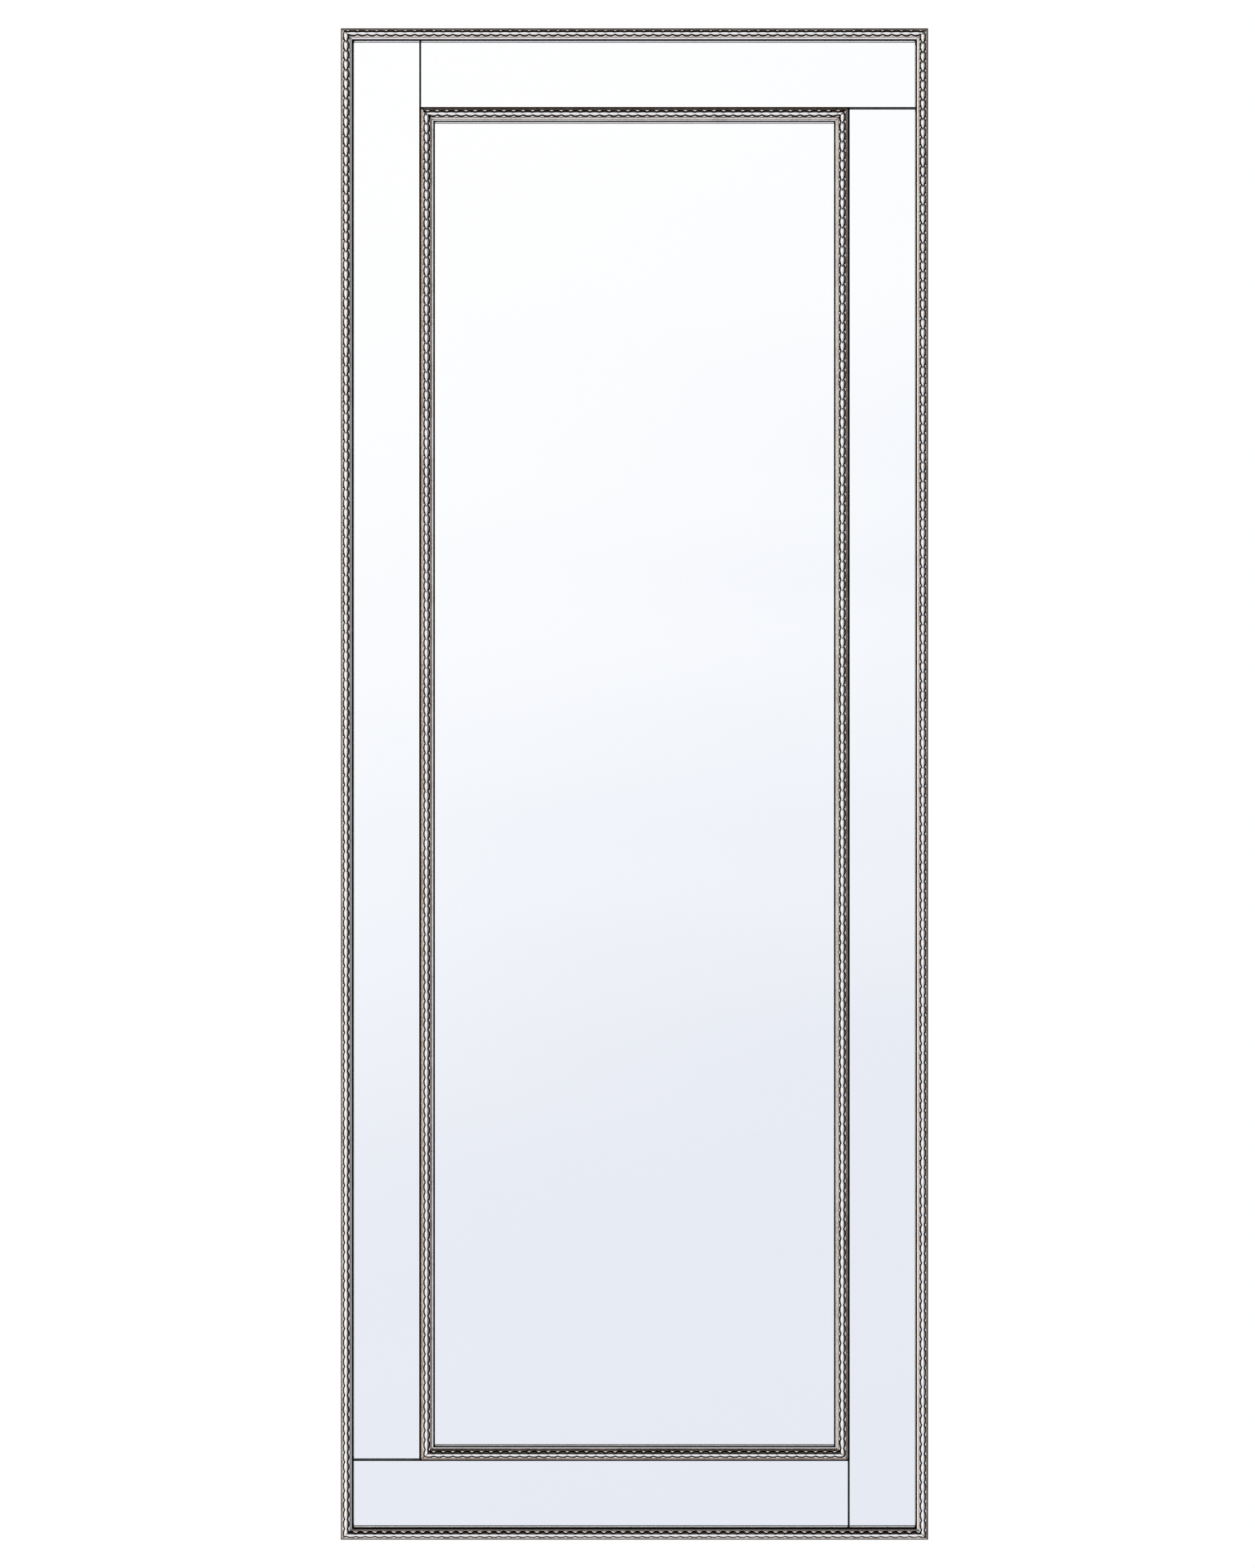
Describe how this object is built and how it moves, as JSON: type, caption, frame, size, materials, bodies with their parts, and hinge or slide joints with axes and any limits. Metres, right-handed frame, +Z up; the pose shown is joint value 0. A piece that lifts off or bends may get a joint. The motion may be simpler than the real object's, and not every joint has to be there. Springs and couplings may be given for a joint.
{
  "type": "wall mirror",
  "caption": "Tall rectangular wall mirror with a border of mirror strips laid as a pinwheel between two beaded silver mouldings, with ring hangers on the back.",
  "frame": {"origin": "centre of the wall plane that the four rear bumpers rest against", "axes": "+X to the right as the mirror is looked at, +Y out of the back into the wall, +Z up"},
  "size_m": [0.505, 0.026, 1.3],
  "materials": {
    "silver_moulding": "moulded polystyrene with a warm silver foil, toned dark in the hollows",
    "silvered_glass": "clear float glass silvered on the back, arrises ground and polished",
    "foam_tape": "white closed-cell foam with adhesive on both faces",
    "bumper_rubber": "black rubber",
    "strap_steel": "nickel-plated folded strip",
    "ring_wire": "nickel-plated round wire",
    "black_board": "fibreboard, painted matt black on the rear",
    "nail_steel": "plain spring steel",
    "point_steel": "plain spring steel",
    "black_screw": "black phosphate",
    "plated_screw": "bright zinc"
  },
  "bodies": {
    "mirror_body": {"backboard": "black_board", "centre_mirror": "silvered_glass", "centre_tape_1": "foam_tape", "centre_tape_2": "foam_tape", "centre_tape_3": "foam_tape", "centre_tape_4": "foam_tape", "framers_points": "point_steel", "hanger_screws": "plated_screw", "hanger_strap_landscape_lower": "strap_steel", "hanger_strap_landscape_upper": "strap_steel", "hanger_strap_portrait_left": "strap_steel", "hanger_strap_portrait_right": "strap_steel", "inner_corner_nails": "nail_steel", "inner_moulding_bottom": "silver_moulding", "inner_moulding_left": "silver_moulding", "inner_moulding_right": "silver_moulding", "inner_moulding_screws": "black_screw", "inner_moulding_top": "silver_moulding", "mirror_strip_bottom": "silvered_glass", "mirror_strip_left": "silvered_glass", "mirror_strip_right": "silvered_glass", "mirror_strip_top": "silvered_glass", "outer_corner_nails": "nail_steel", "outer_moulding_bottom": "silver_moulding", "outer_moulding_left": "silver_moulding", "outer_moulding_right": "silver_moulding", "outer_moulding_top": "silver_moulding", "strip_tape_bottom": "foam_tape", "strip_tape_left": "foam_tape", "strip_tape_right": "foam_tape", "strip_tape_top": "foam_tape", "wall_bumper_lower_left": "bumper_rubber", "wall_bumper_lower_right": "bumper_rubber", "wall_bumper_upper_left": "bumper_rubber", "wall_bumper_upper_right": "bumper_rubber"},
    "ring_portrait_left": {"hanger_ring_portrait_left": "ring_wire"},
    "ring_portrait_right": {"hanger_ring_portrait_right": "ring_wire"},
    "ring_landscape_upper": {"hanger_ring_landscape_upper": "ring_wire"},
    "ring_landscape_lower": {"hanger_ring_landscape_lower": "ring_wire"}
  },
  "joints": [
    {"name": "ring_hinge_portrait_left", "type": "hinge", "parent": "mirror_body", "child": "ring_portrait_left", "pos_m": [-0.1525, -0.00342, 0.53], "axis": [-1, 0, 0], "range_deg": [0, 176]},
    {"name": "ring_hinge_portrait_right", "type": "hinge", "parent": "mirror_body", "child": "ring_portrait_right", "pos_m": [0.1525, -0.00342, 0.53], "axis": [-1, 0, 0], "range_deg": [0, 176]},
    {"name": "ring_hinge_landscape_upper", "type": "hinge", "parent": "mirror_body", "child": "ring_landscape_upper", "pos_m": [0.1925, -0.00342, 0.4], "axis": [0, 0, 1], "range_deg": [0, 176]},
    {"name": "ring_hinge_landscape_lower", "type": "hinge", "parent": "mirror_body", "child": "ring_landscape_lower", "pos_m": [0.1925, -0.00342, -0.4], "axis": [0, 0, 1], "range_deg": [0, 176]}
  ]
}
